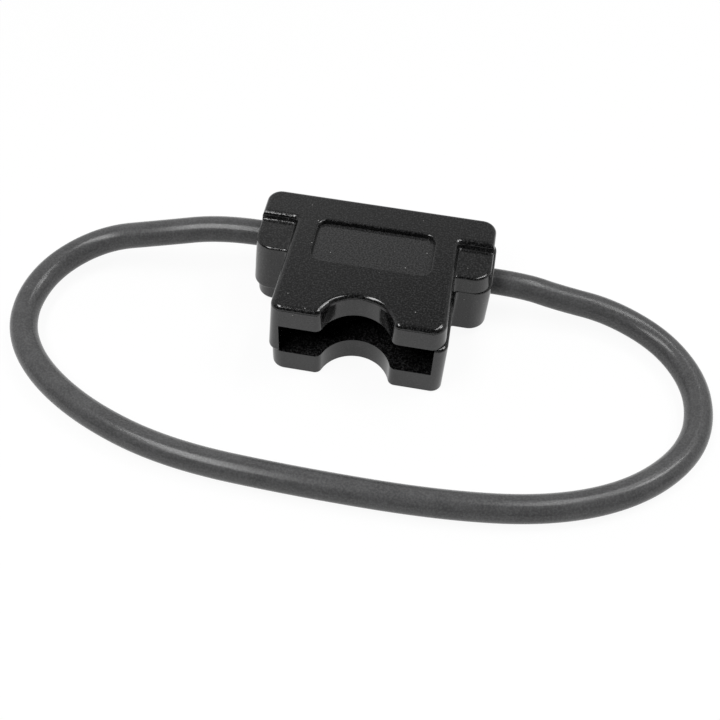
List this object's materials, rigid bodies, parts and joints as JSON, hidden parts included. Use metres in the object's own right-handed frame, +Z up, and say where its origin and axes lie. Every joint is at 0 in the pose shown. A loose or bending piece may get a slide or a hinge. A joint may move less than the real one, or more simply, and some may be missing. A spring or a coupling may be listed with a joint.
{
  "type": "inline fuse holder",
  "caption": "Flat T-shaped inline holder for a regular blade fuse: open front pocket with thumb notches, blade terminals inside, and an uncut loop of jacketed lead from ear to ear.",
  "frame": {"origin": "under the middle of the housing, on the surface it lies on", "axes": "+X from ear to ear, to the right as seen from the mouth; +Y from the mouth to the back wall, the way the fuse goes in; +Z up, through the broad faces"},
  "size_m": [0.0971, 0.0423, 0.0126],
  "materials": {
    "housing": "satin black moulded plastic with a fine texture",
    "terminal": "tin-plated brass strip, satin",
    "conductor": "bare copper strands",
    "jacket": "satin black vinyl jacket"
  },
  "bodies": {
    "root": {"lower_shell": "housing", "upper_shell": "housing", "left_terminal": "terminal", "right_terminal": "terminal", "left_conductor": "conductor", "right_conductor": "conductor", "left_lead_tail": "jacket", "right_lead_tail": "jacket", "lead_loop": "jacket"}
  },
  "joints": []
}
